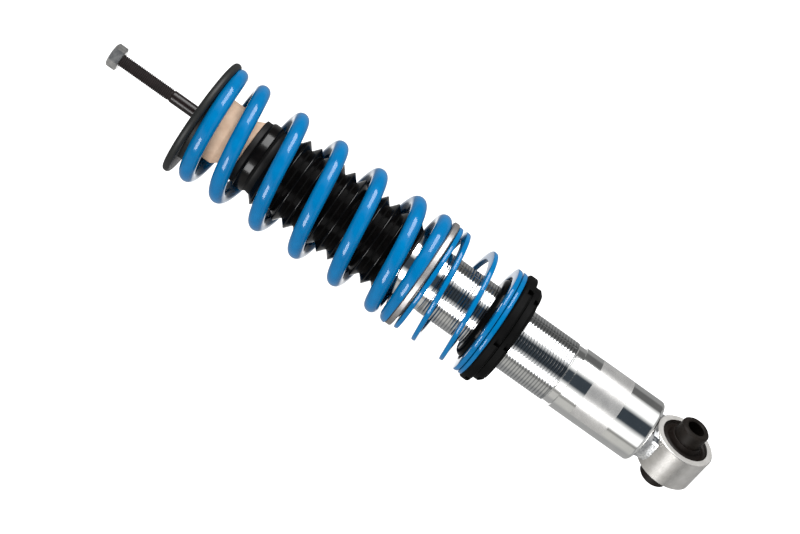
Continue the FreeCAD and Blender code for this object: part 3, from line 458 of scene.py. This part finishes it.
def lathe_rows(outline, columns, about="Z"):
    """Rings of points for an outline of (radius, distance along the axis)."""
    rows = []
    for radius, along in outline:
        row = []
        for column in range(columns):
            angle = TURN * column / columns
            across, up = radius * math.cos(angle), radius * math.sin(angle)
            row.append((along, across, up) if about == "X" else (across, up, along))
        rows.append(row)
    return rows


def thread_rows(crest, root, low, high, pitch, columns):
    """Rings for a right-handed trapezoidal thread; each ring climbs one pitch as it goes round, and
    the ends run out to the root within a pitch."""
    profile = ((0.0, root), (0.18, root), (0.38, crest), (0.8, crest))
    rows = []
    for turn in range(-1, int((high - low) / pitch) + 2):
        for share, radius in profile:
            row = []
            for column in range(columns):
                around = column / columns
                height = low + (turn + share + around) * pitch
                inside = min(max(height, low), high)
                fade = min(1.0, (inside - low) / pitch, (high - inside) / pitch)
                out = root + (radius - root) * fade
                row.append((out * math.cos(TURN * around), out * math.sin(TURN * around), inside))
            rows.append(row)
    return rows


def climb(stations, turn):
    """Height at a turn of a coil whose rise per turn runs straight between (turn, rise) stations."""
    height = 0.0
    for (start, rise), (stop, next_rise) in zip(stations, stations[1:]):
        gone = min(max(turn, start), stop) - start
        height += gone * rise + gone * gone * (next_rise - rise) / (stop - start) / 2
    return height


def active_rise(stations_for, height):
    """The active rise per turn that makes the coil reach the height."""
    last = stations_for(0.0)[-1][0]
    none = climb(stations_for(0.0), last)
    return (height - none) / (climb(stations_for(1.0), last) - none)


def coil_mesh(name, radius, section, start_angle, stations, low, high, overrun, per_turn):
    """Coil of a section of (outward, upward) points round the wire's middle, cut flat at both seats,
    with closed tips. The section leans with the coil's rise."""
    turns = stations[-1][0]
    count = int(turns * per_turn)
    rows = []
    for step in range(count + 1):
        turn = turns * step / count
        angle = math.radians(start_angle) + TURN * turn
        middle = low - overrun + climb(stations, turn)
        rise = (climb(stations, turn + 0.001) - climb(stations, turn - 0.001)) / 0.002
        lean = math.atan2(rise, TURN * radius)
        out = Vector((math.cos(angle), math.sin(angle), 0))
        along = Vector((-math.sin(angle), math.cos(angle), 0))
        up = Vector((0, 0, 1)) * math.cos(lean) - along * math.sin(lean)
        row = []
        for outward, upward in section:
            point = out * (radius + outward) + up * upward + Vector((0, 0, middle))
            point.z = min(max(point.z, low), high)
            row.append(point)
        rows.append(row)
    mesh = grid_mesh(name, rows)
    width = len(section)
    points = [vertex.co.copy() for vertex in mesh.vertices]
    faces = [tuple(polygon.vertices) for polygon in mesh.polygons]
    faces.append(tuple(reversed(range(width))))
    faces.append(tuple(range(count * width, (count + 1) * width)))
    mesh.clear_geometry()
    mesh.from_pydata(points, [], faces)
    return mesh


# Springs

WIRE = 12.4 * MM
STRIP_WIDTH = 8.75 * MM
STRIP_THICKNESS = 3.8 * MM
STRIP_LEAN = -5  # degrees; the flat strip dishes a little as it is wound
MAIN_START = 124.0  # degrees from +X of each coil's lower tip
HELPER_START = 158.0
RINGS_PER_TURN = 72


def make_main_spring(material):
    """Round-wire spring between the coupler and the upper plate."""
    low, high = box_foot("main_spring"), box_top("main_spring")
    radius = box_radius("main_spring") - WIRE / 2
    turns, closed, top_rise = 7.05, 13 * MM, 19.7 * MM
    overrun = WIRE / 2 - 3.2 * MM

    def stations(active):
        return [(0.0, closed), (0.94, closed), (1.6, active), (turns - 1.45, active),
                (turns - 1.15, top_rise), (turns, top_rise)]

    run = stations(active_rise(stations, high - low + 2 * overrun))
    ring = [(WIRE / 2 * math.cos(TURN * k / 28), WIRE / 2 * math.sin(TURN * k / 28)) for k in range(28)]
    mesh = coil_mesh("spring_coil", radius, ring, MAIN_START, run, low, high, overrun, RINGS_PER_TURN)
    piece = finish_piece(mesh, material, ["main_spring"])
    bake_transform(piece)


def make_helper_spring(material):
    """Flat-strip spring between the perch and the coupler."""
    low, high = box_foot("helper_spring"), box_top("helper_spring")
    radius = box_radius("helper_spring") - STRIP_WIDTH / 2
    turns, closed = 4.95, 4.3 * MM
    overrun = 1.5 * MM - STRIP_THICKNESS / 2

    def stations(active):
        return [(0.0, closed), (1.5, closed), (2.0, active), (turns - 1.45, active),
                (turns - 1.0, closed), (turns, closed)]

    run = stations(active_rise(stations, high - low + 2 * overrun))
    half_width, half_height, edge = STRIP_WIDTH / 2, STRIP_THICKNESS / 2, 1.1 * MM
    strip = []
    for side, level, start in ((1, 1, 0), (-1, 1, 90), (-1, -1, 180), (1, -1, 270)):
        for step in range(5):
            angle = math.radians(start + 90 * step / 4)
            corner = Vector((side * (half_width - edge), level * (half_height - edge)))
            point = corner + edge * Vector((math.cos(angle), math.sin(angle)))
            strip.append(Matrix.Rotation(math.radians(STRIP_LEAN), 2) @ point)
    mesh = coil_mesh("helper_coil", radius, strip, HELPER_START, run, low, high, overrun, RINGS_PER_TURN)
    piece = finish_piece(mesh, material, ["helper_spring"])
    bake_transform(piece)


# Soft pieces

def make_dust_boot(material):
    """Ribbed boot: lip, cuff, neck, then ribs with rounded crests and sharp roots, and the foot on the
    tube. The lowest rib starts a little high, to clear the coupler when the perch is all the way up."""
    low, high = box_foot("dust_boot"), box_top("dust_boot")
    wall = 1.4 * MM
    hole = box_radius("bump_stop") + 0.3 * MM
    lip, cuff, valley, crest = 26.7 * MM, 28.5 * MM, 27.3 * MM, box_radius("dust_boot")
    lip_end, cuff_end, neck_end, foot_end = high - 5 * MM, high - 13 * MM, high - 19.6 * MM, low + 2.5 * MM
    ribs = 12
    pitch = (neck_end - foot_end) / ribs
    corners = [(hole, high, 0), (lip, high, 0.8 * MM), (lip, lip_end, 0.6 * MM), (cuff, lip_end, 2.2 * MM),
               (cuff, cuff_end, 2.2 * MM), (valley - 0.8 * MM, cuff_end - 2.6 * MM, 1 * MM)]
    for rib in range(ribs):
        top = neck_end - rib * pitch
        corners.append((valley, top, 0))
        corners.append((crest, top - pitch / 2, 0.8 * MM))
    corners += [(valley, foot_end, 0.9 * MM), (valley, low, 0.5 * MM), (valley - wall, low, 0)]
    for rib in reversed(range(ribs)):
        top = neck_end - rib * pitch
        corners.append((crest - wall, top - pitch / 2, 0.5 * MM))
        corners.append((valley - wall, top, 0.5 * MM))
    corners.append((hole, cuff_end, 0))
    mesh = grid_mesh("boot", lathe_rows(rounded(corners, 4), 128), closed_rows=True)
    piece = finish_piece(mesh, material, ["dust_boot"], sharp=60)
    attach(piece, "barrel")
    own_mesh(piece)


def make_bump_stop(material):
    """Foam bump stop with soft edges, a waist and a tapered nose."""
    low, high = box_foot("bump_stop"), box_top("bump_stop")
    top = box_foot("upper_spring_plate")
    full, hole = box_radius("bump_stop"), 5.3 * MM
    waist = top - 23.4 * MM
    corners = [(hole, low, 0), (15 * MM, low, 2.5 * MM), (full, low + 9 * MM, 5 * MM),
               (full, waist - 10.6 * MM, 3 * MM), (19.5 * MM, waist, 3 * MM),
               (full, waist + 6.8 * MM, 2.5 * MM), (full, top, 2 * MM), (16.7 * MM, top, 0),
               (16.7 * MM, high, 0), (hole, high, 0)]
    mesh = grid_mesh("bumper", lathe_rows(rounded(corners), 96), closed_rows=True)
    piece = finish_piece(mesh, material, ["bump_stop"], sharp=50)
    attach(piece, "upper_seat")


def make_bush(material):
    """Bonded rubber of the eye, rising in a hollow cone from the rim to the sleeve."""
    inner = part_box("bush_sleeve")[1].y + 0.05 * MM
    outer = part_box("bush_rubber")[1].y
    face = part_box("bush_rubber")[1].x
    rim, valley = 12 * MM, 11.2 * MM
    side = [(inner, face, 0), (inner + 0.9 * MM, face, 0.4 * MM), (inner + 2.8 * MM, 13.4 * MM, 3 * MM),
            (outer - 1.6 * MM, valley, 1.6 * MM), (outer, rim, 0)]
    corners = side + [(radius, -along, rounding) for radius, along, rounding in reversed(side)]
    mesh = grid_mesh("bush", lathe_rows(rounded(corners), 96, "X"), closed_rows=True)
    piece = finish_piece(mesh, material, ["bush_rubber"], sharp=50)
    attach(piece, "barrel")


def make_weld(material):
    """Weld round the eye's top: a waisted neck that closes the gap all round, flares on to the eye and
    the tube's foot, and is slightly uneven."""
    top = box_foot("damper_tube") + 1.5 * MM
    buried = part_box("lower_eye")[1].z - 1.2 * MM
    columns, steps = 120, 14
    rows = []
    for step in range(steps + 1):
        share = step / steps
        half_x = (14.8 + 1.6 * share ** 4) * MM
        half_y = (19.2 - 1.1 * math.sin(math.pi * share) + 0.3 * share) * MM
        row = []
        for column in range(columns):
            angle = TURN * column / columns
            uneven = 1 + 0.012 * math.sin(5 * angle + 6 * share) * math.sin(9 * angle - 4 * share + 1)
            across, aside = math.cos(angle), math.sin(angle)
            x = half_x * math.copysign(abs(across) ** 0.5, across) * uneven
            y = half_y * math.copysign(abs(aside) ** 0.5, aside) * uneven
            start = math.sqrt(buried ** 2 - y ** 2)
            row.append((x, y, start + (top - start) * share))
        rows.append(row)
    piece = finish_piece(grid_mesh("weld", rows), material, ["eye_weld"], sharp=70)
    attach(piece, "barrel")


# Threaded pieces

def make_tube(material):
    """Damper tube with its thread cut, a rounded foot and a chamfer at each step."""
    low, high = box_foot("damper_tube"), box_top("damper_tube")
    plain, relief, thread, root, head, bore = (r * MM for r in (26.5, 25, 26, 25.8, 25.6, 23))
    relief_start, thread_start, thread_end = low + 74.6 * MM, THREAD_FOOT, THREAD_TOP
    foot = rounded([(0.0, low + 1.2 * MM, 0), (plain, low + 1.2 * MM, 3.5 * MM),
                    (plain, relief_start, 0.15 * MM),
                    (relief, relief_start + 0.4 * MM, 0.15 * MM), (relief, thread_start - 1 * MM, 0.3 * MM),
                    (root, thread_start, 0)])
    top = rounded([(root, thread_end, 0), (head, thread_end + 0.6 * MM, 0.2 * MM), (head, high, 0.3 * MM),
                   (bore, high, 0), (bore, low + 5 * MM, 0), (0.0, low + 5 * MM, 0)])
    columns = 144
    rows = lathe_rows(foot, columns)
    rows += thread_rows(thread, root, thread_start, thread_end, 2.5 * MM, columns)
    rows += lathe_rows(top, columns)
    piece = finish_piece(grid_mesh("tube", rows), material, ["damper_tube"], sharp=25)
    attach(piece, "barrel")


def make_rod(material):
    """Piston rod, smooth up to its shoulder, with a fine thread on the pin."""
    low, high = box_foot("piston_rod"), box_top("piston_rod")
    rod, pin, root, spigot = 5 * MM, 4.9 * MM, 4.25 * MM, 4 * MM
    shoulder = box_top("upper_spring_plate") + 24 * MM
    columns = 64
    foot = rounded([(0.0, low, 0), (spigot, low, 0.6 * MM), (spigot, box_foot("rebound_stop"), 0),
                    (rod, box_foot("rebound_stop"), 0), (rod, shoulder, 0.3 * MM),
                    (root, shoulder + 1.5 * MM, 0)])
    rows = lathe_rows(foot, columns)
    rows += thread_rows(pin, root, shoulder + 1.5 * MM, high - 0.8 * MM, 1.5 * MM, columns)
    tip = rounded([(root, high - 0.6 * MM, 0), (root - 0.6 * MM, high, 0), (0.0, high, 0)])
    rows += lathe_rows(tip, columns)
    piece = finish_piece(grid_mesh("rod", rows), material, ["piston_rod"], sharp=25)
    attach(piece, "rod")


def make_label(material):
    """Bare foil label on the tube's plain band, on the side that the photograph shows."""
    low, high = 56.4 * MM, 85.2 * MM
    radius = 26.5 * MM + 0.06 * MM
    first, last, columns = -111, 40, 60
    points = []
    for height in (low, high):
        for column in range(columns + 1):
            angle = math.radians(first + (last - first) * column / columns)
            points.append((radius * math.cos(angle), radius * math.sin(angle), height))
    width = columns + 1
    faces = [(column, column + 1, width + column + 1, width + column) for column in range(columns)]
    mesh = bpy.data.meshes.new("label")
    mesh.from_pydata(points, [], faces)
    piece = finish_piece(mesh, material)
    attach(piece, "barrel")


def make_nut(material):
    """Nut on the pin, its corners turned off in a cone at both ends."""
    low, high = box_foot("top_nut"), box_top("top_nut")
    half, rim, hole = 8.5 * MM, 8.1 * MM, 4.95 * MM
    facing, columns = 34, 96
    slope = math.tan(math.radians(30))
    rows = [[] for _ in range(6)]
    for column in range(columns):
        turn = 360 * column / columns
        corner = half / math.cos(math.radians(turn % 60 - 30))
        cone = (corner - rim) * slope
        angle = math.radians(facing + turn)
        outline = ((hole, low), (rim, low), (corner, low + cone),
                   (corner, high - cone), (rim, high), (hole, high))
        for row, (radius, height) in zip(rows, outline):
            row.append((radius * math.cos(angle), radius * math.sin(angle), height))
    mesh = grid_mesh("nut", rows, closed_rows=True)
    piece = finish_piece(mesh, material, ["top_nut"], sharp=20)
    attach(piece, "rod")


# Finishes on the CAD's own pieces

def dress(material, *names):
    """Gives CAD nodes their finish."""
    for name in names:
        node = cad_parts[name]
        node.data.materials.clear()
        node.data.materials.append(material)


zinc = bright_zinc()
satin = satin_zinc()
black_steel = black_oxide()
blue = blue_powder_coat()
aluminium = turned_aluminium()
rubber = boot_rubber()
steel = plain_steel()

make_main_spring(blue)
make_helper_spring(blue)
make_dust_boot(rubber)
make_bump_stop(tan_foam())
make_bush(bush_rubber())
make_tube(zinc)
make_rod(black_steel)
make_label(label_foil())
make_weld(weld_bead())
make_nut(nut_zinc())
dress(satin, "lower_eye")
dress(zinc, "tube_cap")
dress(black_phosphate(), "bush_sleeve")
dress(black_anodised(), "spring_perch", "lock_ring")
dress(black_paint(), "upper_spring_plate")
dress(aluminium, "spring_coupler", "floating_piston")
dress(steel, "rod_guide", "circlip", "rebound_stop", "compression_shims", "rebound_shims",
      "working_piston", "valve_washers", "piston_nut")
dress(rubber, "rod_seal", "guide_seal_ring", "rebound_bumper", "floating_seal_ring")
dress(bearing_bronze(), "guide_bush")
dress(band_plastic(), "piston_band")


# Studio

FRAME_WIDTH = 800
FOCAL_PIXELS = 1915
SENSOR = 36.0
VIEW_AZIMUTH = 34.0
STRUT_TILT = 35.37
MIDDLE_HEIGHT = 252.5 * MM
MIDDLE_ASIDE = 5.7 * MM
CAMERA_ABOVE = 56.5 * MM
CAMERA_DISTANCE = 1.45
ROOM_STRENGTH = 1.45


def view_directions():
    """Unit vectors from the strut to the camera and to the camera's right, before its roll."""
    turn = math.radians(VIEW_AZIMUTH)
    return Vector((math.sin(turn), -math.cos(turn), 0)), Vector((math.cos(turn), math.sin(turn), 0))


def make_camera():
    """Camera that sees the strut lie from top left to bottom right, as photographed."""
    toward, right = view_directions()
    target = Vector((0, 0, MIDDLE_HEIGHT)) - right * MIDDLE_ASIDE
    spot = target + toward * CAMERA_DISTANCE + Vector((0, 0, CAMERA_ABOVE))
    data = bpy.data.cameras.new("camera")
    data.sensor_width = SENSOR
    data.lens = FOCAL_PIXELS / FRAME_WIDTH * SENSOR
    camera = bpy.data.objects.new("camera", data)
    bpy.context.scene.collection.objects.link(camera)
    level = (target - spot).to_track_quat("-Z", "Y").to_matrix().to_4x4()
    roll = Matrix.Rotation(-math.radians(90 - STRUT_TILT), 4, "Z")
    camera.matrix_world = Matrix.Translation(spot) @ level @ roll
    bpy.context.scene.camera = camera


def softbox(name, angle, rise, distance, width, length, power):
    """Soft light round the strut: angle from the camera toward its right, rise above level."""
    toward, right = view_directions()
    turn, lift = math.radians(angle), math.radians(rise)
    aim = (toward * math.cos(turn) + right * math.sin(turn)) * math.cos(lift) + Vector((0, 0, math.sin(lift)))
    middle = Vector((0, 0, MIDDLE_HEIGHT))
    data = bpy.data.lights.new(name, "AREA")
    data.shape = "RECTANGLE"
    data.size, data.size_y = width, length
    data.energy = power
    light = bpy.data.objects.new(name, data)
    light.location = middle + aim * distance
    light.rotation_euler = (-aim).to_track_quat("-Z", "Y").to_euler()
    bpy.context.scene.collection.objects.link(light)


def make_room():
    """Studio walls round the strut, by angle from the camera toward its right: bluish dark round the
    camera, a tall white panel at each side, greys beyond them and white behind. Straight overhead and
    below they are mid grey. The background itself is plain white."""
    world = bpy.data.worlds.new("room")
    world.use_nodes = True
    tree = world.node_tree
    toward, right = view_directions()
    where = add(tree, "ShaderNodeTexCoord").outputs["Generated"]
    ahead = add(tree, "ShaderNodeVectorMath", {0: where, 1: toward}, operation="DOT_PRODUCT").outputs["Value"]
    aside = add(tree, "ShaderNodeVectorMath", {0: where, 1: right}, operation="DOT_PRODUCT").outputs["Value"]
    angle = add(tree, "ShaderNodeMath", {0: aside, 1: ahead}, operation="ARCTAN2").outputs[0]
    share = add(tree, "ShaderNodeMapRange", {
        "Value": angle, "From Min": -math.pi, "From Max": math.pi,
    }).outputs["Result"]
    # Each panel is flat in tone from its first angle to its second, in degrees; the room fades between them.
    panels = (
        (-180, -174, "#ffffff"),  # white sheet behind
        (-166, -116, "#959595"),  # rear left wall
        (-100, -76, "#b4b3b0"),   # left wall
        (-70, -65, "#888785"),    # gap beside the left panel
        (-58, -31, "#ffffff"),    # left white panel
        (-14, 23, "#343b42"),     # dark front of the room, round the camera
        (38, 75, "#ffffff"),      # right white panel
        (90, 118, "#5c5c5c"),     # dark right wall
        (128, 168, "#868686"),    # rear right wall
        (177, 180, "#ffffff"),    # white sheet behind
    )
    edges = [(edge, code) for first, last, code in panels for edge in (first, last)]
    wall = ramp(tree, share, [((degrees + 180) / 360, linear(code)) for degrees, code in edges])
    level = add(tree, "ShaderNodeSeparateXYZ", {"Vector": where}).outputs["Z"]
    steep = add(tree, "ShaderNodeMath", {0: level, 1: 4.0}, operation="POWER").outputs[0]
    shade = add(tree, "ShaderNodeMix", {0: steep, 6: wall, 7: linear("#7c7c7c")}, data_type="RGBA").outputs[2]
    seen = add(tree, "ShaderNodeLightPath").outputs["Is Camera Ray"]
    mixed = add(tree, "ShaderNodeMix", {0: seen, 6: shade, 7: linear("#ffffff")}, data_type="RGBA")
    tree.links.new(mixed.outputs[2], tree.nodes["Background"].inputs["Color"])
    tree.nodes["Background"].inputs["Strength"].default_value = ROOM_STRENGTH
    bpy.context.scene.world = world


def make_floor():
    """Pale floor, well below the hanging strut."""
    half = 2.2
    drop = 1.4
    mesh = bpy.data.meshes.new("floor")
    mesh.from_pydata([(-half, -half, -drop), (half, -half, -drop), (half, half, -drop), (-half, half, -drop)],
                     [], [(0, 1, 2, 3)])
    material, tree, shader = new_material("matte pale floor paint", Roughness=0.9)
    tone = noise(tree, place(tree), 0.4)
    colour = ramp(tree, tone, [(0.3, linear("#c6c6c6")), (0.7, linear("#cecece"))])
    tree.links.new(colour, shader.inputs["Base Color"])
    mesh.materials.append(material)
    floor = bpy.data.objects.new("floor", mesh)
    bpy.context.scene.collection.objects.link(floor)


make_camera()
make_room()
make_floor()
softbox("side_box", 60, 4, 1.1, 0.8, 0.72, 27)
softbox("front_box", -44, 3, 1.6, 0.7, 0.9, 37)
bpy.context.scene.view_settings.view_transform = "Standard"
